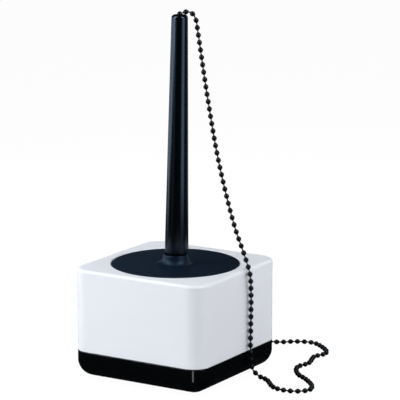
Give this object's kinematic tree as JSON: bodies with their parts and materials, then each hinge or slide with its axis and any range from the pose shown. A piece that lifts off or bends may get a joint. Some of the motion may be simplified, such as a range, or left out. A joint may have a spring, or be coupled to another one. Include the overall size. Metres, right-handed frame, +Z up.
{
  "type": "pen holder",
  "caption": "Square weighted desk holder: white housing over a black pan, round socket plate with a collar, and a tapered pen on a ball chain that lies on the table.",
  "frame": {"origin": "middle of the holder's square footprint, on the table under its rubber feet", "axes": "+Z up, along the pen within its 1 degree lean; -Y is the wide front face in the picture; +X is the side that the chain hangs over"},
  "size_m": [0.1071, 0.1084, 0.1698],
  "materials": {
    "white_shell": "smooth white moulded plastic, soft gloss",
    "black_shell": "high-gloss black moulded plastic",
    "satin_black": "satin blue-black moulded plastic",
    "pen_black": "smooth black plastic with a soft gloss",
    "chain_black": "black coated steel beads, satin",
    "rubber": "matt rubber",
    "cast_iron": "raw cast iron",
    "steel": "zinc-plated steel",
    "brass": "turned brass",
    "refill": "milky plastic tube"
  },
  "bodies": {
    "stand": {"housing": "white_shell", "base_pan": "black_shell", "socket_plate": "satin_black", "ballast_block": "cast_iron", "foot_pad_1": "rubber", "foot_pad_2": "rubber", "foot_pad_3": "rubber", "foot_pad_4": "rubber", "pan_screw_1": "steel", "pan_screw_2": "steel", "pan_screw_3": "steel", "pan_screw_4": "steel", "chain_anchor": "steel", "anchor_screw": "steel", "chain_floor": "chain_black"},
    "chain_end": {"chain_swivel": "chain_black", "chain_hanging": "chain_black"},
    "pen": {"pen_barrel": "pen_black", "pen_end_plug": "pen_black", "pen_nose": "pen_black", "refill_tube": "refill", "refill_tip": "brass", "writing_ball": "steel"}
  },
  "joints": [
    {"name": "pen_lift", "type": "slide", "parent": "stand", "child": "chain_end", "axis": [0.0175, 0, 0.9998], "range_m": [0, 0.034]},
    {"name": "pen_spin", "type": "hinge", "parent": "chain_end", "child": "pen", "pos_m": [0, 0, 0.0232], "axis": [0.0175, 0, 0.9998], "continuous": true}
  ]
}
